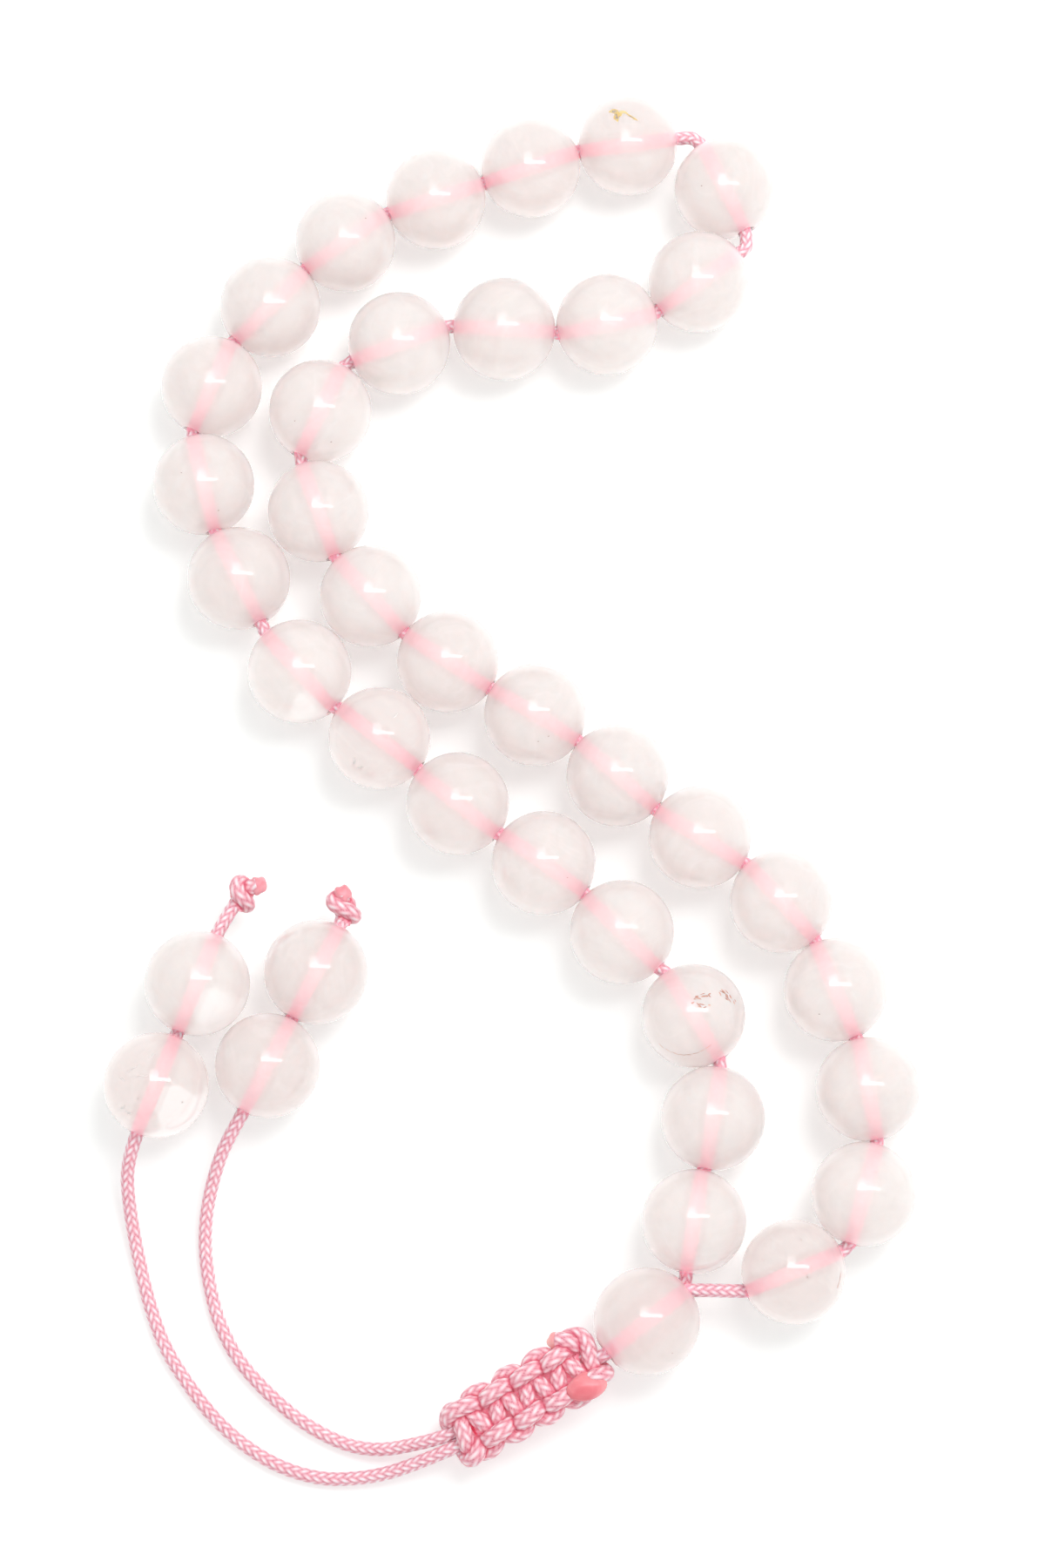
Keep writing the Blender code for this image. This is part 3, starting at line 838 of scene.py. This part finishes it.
def strand_line():
    """Centre line of the strand's cord, from the sliding knot through every bead and back into the knot."""
    guru, guru_axis = joint_place("guru_bead")
    middle, axes = knot_place()
    beside = axes[1] * CORD_R
    far, near = middle - axes[0] * STRAND_END, middle + axes[0] * STRAND_END
    knot_mouth, strand_mouth = guru - guru_axis * GURU_KNOT_MOUTH, guru + guru_axis * GURU_MOUTH
    points = [far - beside, near - beside]
    points += [place - GURU_LIFT for place in (knot_mouth, guru, strand_mouth)]
    for number, bead in enumerate(STRAND, start=1):
        centre, axis = joint_place(bead)
        points += [centre - axis * STRAND_MOUTH, centre + axis * STRAND_MOUTH]
        if number in STRAND_CROSSINGS:
            points.append(np.array((*STRAND_CROSSINGS[number], centre[2])))
    points.append(np.array((*STRAND_RETURN, guru[2] + RETURN_RISE)))
    points += [place + GURU_LIFT for place in (strand_mouth, guru, knot_mouth)]
    points += [near + beside, far + beside]
    spacing = 0.3
    dense = []
    for a, b in zip(points, points[1:]):
        count = max(1, int(round(np.linalg.norm(b - a) / spacing)))
        dense += [a + (b - a) * i / count for i in range(count)]
    return soften(np.array(dense + [points[-1]]), 3)


def strand_places(line):
    """Where the rings stand: close together where the cord shows, further apart inside the beads."""
    s = lengths_along(line)
    centres = np.array([joint_place(b)[0] for b in STRAND + ["guru_bead"]])
    places, at = [0.0], 0.0
    while at < s[-1]:
        point = at_lengths(line, np.array([at]))[0]
        inside = np.linalg.norm(centres - point, axis=1).min() < HIDDEN_WITHIN
        at += HIDDEN_RING if inside else BRAID_RING
        places.append(min(at, s[-1]))
    return np.array(places)


def make_strand_cord(material):
    line = strand_line()
    cord = braided_cord("cord_strand", line, CORD_R, material, strand_places(line), covered=True)
    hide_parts("strand_cord")
    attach(cord, "cord")


# Beads

def bead_radius(body):
    """Stone beads differ a little in size: each one just reaches its nearest neighbour."""
    apart = np.sort(np.linalg.norm(BEAD_CENTRES - joint_place(body)[0], axis=1))[1]
    return float(np.clip(apart / 2 - BEAD_CLEARANCE, BEAD_R, BEAD_R_MAX))


def bead_rings(radius, bore):
    """Rings of a drilled bead: place along the bore and distance from it."""
    first = asin((bore + RIM_FILLET) / radius)
    outline = [(radius * cos(a), radius * sin(a)) for a in np.linspace(first, pi - first, BEAD_ARC_STEPS)]
    end = radius * cos(first)
    inner = end - RIM_DEPTH
    corner = (-(end + RIM_CORNER[0]), bore + RIM_CORNER[1])
    fillet = [
        ((1 - k) ** 2 * -end + 2 * k * (1 - k) * corner[0] + k**2 * -inner,
         (1 - k) ** 2 * (bore + RIM_FILLET) + 2 * k * (1 - k) * corner[1] + k**2 * bore)
        for k in np.linspace(0, 1, RIM_STEPS)[1:]
    ]
    wall = [(x, bore) for x in np.linspace(-inner, inner, WALL_STEPS)[1:-1]]
    other = [(-x, r) for x, r in fillet[::-1]]
    return outline + fillet + wall + other


def make_bead(body, bore, material, bore_wall):
    """A drilled stone whose bore has its own material."""
    on_wall = 0.002
    rings = bead_rings(bead_radius(body), bore)
    theta = np.arange(BEAD_SIDES) * 2 * pi / BEAD_SIDES
    verts = np.array([(x, r * cos(t), r * sin(t)) for x, r in rings for t in theta])
    faces = [f[::-1] for f in grid_faces(len(rings), BEAD_SIDES)]
    last = (len(rings) - 1) * BEAD_SIDES
    for j in range(BEAD_SIDES):
        k = (j + 1) % BEAD_SIDES
        faces.append([j, k, last + k, last + j])
    bead = new_mesh(f"quartz_{body}", verts, faces, material)
    bead.data.materials.append(bore_wall)
    radii = np.array([r for _, r in rings])
    for polygon in bead.data.polygons:
        if all(radii[v // BEAD_SIDES] < bore + on_wall for v in polygon.vertices):
            polygon.material_index = 1
    centre, axis = joint_place(body)
    turn = Matrix.Rotation(atan2(axis[1], axis[0]), 4, "Z")
    bead.matrix_world = Matrix.Translation(Vector(centre) * MM) @ turn
    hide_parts(body)
    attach(bead, body)


def make_beads():
    bore_wall = bore_material()
    for seed, body in enumerate(BEADS):
        milky = CLEAR_BEADS.get(body, float(rng.uniform(0.6, 1.0)))
        shade = float(rng.uniform(0.97, 1.01)) * GREY_BEADS.get(body, 1.0)
        material = quartz_material(f"rose_quartz_{body}", seed, milky, shade)
        make_bead(body, GURU_BORE_R if body == "guru_bead" else BORE_R, material, bore_wall)


# Inclusions in the stone

def make_flakes(body, kind, spots, material):
    """Thin uneven flakes in one bead's face. A spot has its place right of and above the bead's middle as the
    camera sees it, its length, width and turn."""
    verts, faces = [], []
    centre = joint_place(body)[0]
    outer = bead_radius(body)
    toward = unit(CAMERA_PLACE - centre)
    right = unit(np.cross((0.0, 1.0, 0.0), toward))
    up = np.cross(toward, right)
    for x, y, length, width, turn in spots:
        middle = right * x + up * y + toward * (outer**2 - x * x - y * y) ** 0.5
        along = right * cos(radians(turn)) + up * sin(radians(turn))
        across = np.cross(middle / outer, along)
        base = len(verts)
        rim = []
        for j in range(FLAKE_CORNERS):
            a = 2 * pi * j / FLAKE_CORNERS
            uneven = rng.uniform(0.55, 1.15)
            rim.append(unit(middle + (along * cos(a) * length / 2 + across * sin(a) * width / 2) * uneven))
        verts += [n * (outer + FLAKE_PROUD) for n in rim] + [n * (outer - FLAKE_DEPTH) for n in rim]
        faces.append([base + j for j in range(FLAKE_CORNERS)])
        faces.append([base + FLAKE_CORNERS + j for j in range(FLAKE_CORNERS)][::-1])
        for j in range(FLAKE_CORNERS):
            k = (j + 1) % FLAKE_CORNERS
            faces.append([base + j, base + FLAKE_CORNERS + j, base + FLAKE_CORNERS + k, base + k])
    flakes = new_mesh(f"{kind}_{body}", np.array(verts), faces, material, smooth=False)
    flakes.location = Vector(centre) * MM
    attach(flakes, body)


def scatter(middle, along, across, count):
    """Flecks strewn round a middle, most of them near it, each pointing roughly along."""
    widest = 1.6
    spots = []
    for _ in range(count):
        a, b = np.clip(rng.normal(size=2), -widest, widest)
        x, y = np.array(middle) + a * np.array(along) + b * np.array(across)
        turn = np.degrees(atan2(along[1], along[0])) + rng.uniform(-40, 40)
        spots.append((x, y, rng.uniform(0.3, 0.75), rng.uniform(0.1, 0.24), turn))
    return spots


def make_inclusions():
    """Stains, cracks and specks in the beads that show them most."""
    gold = flake_material("gold_stain", (0.78, 0.52, 0.12), (0.92, 0.74, 0.34), 0.75)
    rust = flake_material("rust_stain", (0.42, 0.15, 0.10), (0.68, 0.34, 0.25), 0.62)
    speck = flake_material("dark_speck", (0.12, 0.07, 0.07), (0.30, 0.20, 0.18), 0.75)
    white = flake_material("white_crack", (0.90, 0.88, 0.87), (1.0, 0.99, 0.98), 0.4)
    make_flakes("bead_16", "gold", [
        (-1.35, 3.35, 1.6, 0.85, -20), (-1.15, 2.85, 1.6, 0.7, -75), (-0.8, 3.1, 1.1, 0.65, -50),
        (-0.35, 3.25, 1.3, 0.34, -35), (0.45, 2.75, 1.4, 0.3, -38),
    ], gold)
    cluster = scatter((0.75, 1.45), (0.5, 0.0), (0.0, 0.4), 16)
    streak = scatter((3.35, 1.75), (0.42, -0.42), (0.14, 0.14), 14)
    arc = [(x, 0.16 * (x + 0.8) ** 2 - 3.75, 0.8, 0.06, 18 * (x + 0.8)) for x in np.arange(-3.1, 1.6, 0.65)]
    make_flakes("bead_03", "rust", cluster + streak + arc, rust)
    make_flakes("bead_33", "rust", [(4.4, -0.6, 1.1, 0.12, 75), (4.2, -1.3, 0.7, 0.1, 65)], rust)
    make_flakes("tail_bead_left_lower", "white", [
        (-3.2, -2.2, 1.2, 0.6, 40), (-2.6, -2.7, 0.9, 0.4, 10), (-1.6, 0.8, 1.8, 0.14, 5),
        (-2.3, 1.5, 1.5, 0.12, 25), (-3.3, 0.6, 1.1, 0.14, -30), (-0.5, 2.8, 0.9, 0.35, 60),
        (0.8, 0.4, 1.6, 0.1, 0),
    ], white)
    make_flakes("bead_07", "white", [
        (-2.4, -2.3, 1.1, 0.5, 60), (-1.8, -2.9, 0.9, 0.4, 30), (1.6, 2.2, 0.8, 0.15, 50),
    ], white)
    specks = {
        "bead_33": [(-2.9, 1.15), (1.3, -0.5), (0.8, 3.0), (2.3, -2.8)], "guru_bead": [(2.4, -3.0)],
        "tail_bead_left_lower": [(-1.7, -1.3), (2.5, -1.6)], "bead_26": [(0.3, -2.6), (1.3, -2.1)],
        "bead_17": [(-2.3, 0.3)], "bead_10": [(-2.2, 1.1), (1.5, -2.5)], "bead_05": [(2.3, -1.4)],
        "bead_30": [(-1.6, -2.3)], "bead_22": [(1.1, -3.0), (-2.5, -1.0)], "bead_13": [(2.0, 2.3)],
    }
    speck_length, speck_width, speck_turn = 0.2, 0.13, 50
    for body, places in specks.items():
        spots = [(x, y, speck_length, speck_width, speck_turn * k) for k, (x, y) in enumerate(places)]
        make_flakes(body, "specks", spots, speck)


bpy.context.scene.view_settings.view_transform = "Standard"
make_camera()
make_stage()
make_lights()
nylon = nylon_material("braided_nylon")
# A copy a little deeper in green and blue, for the knots
knot_nylon = nylon_material("knot_nylon", 0.93)
coral = melted_material("melted_coral", [(0.80, 0.16, 0.20), (0.92, 0.34, 0.37), (0.96, 0.58, 0.53)])
melted_pink = melted_material("melted_pink", [(0.70, 0.14, 0.19), (0.84, 0.27, 0.32), (0.92, 0.45, 0.50)])
make_tails(nylon, knot_nylon, melted_pink)
make_sliding_knot(knot_nylon, coral)
make_strand_cord(nylon)
make_beads()
make_inclusions()
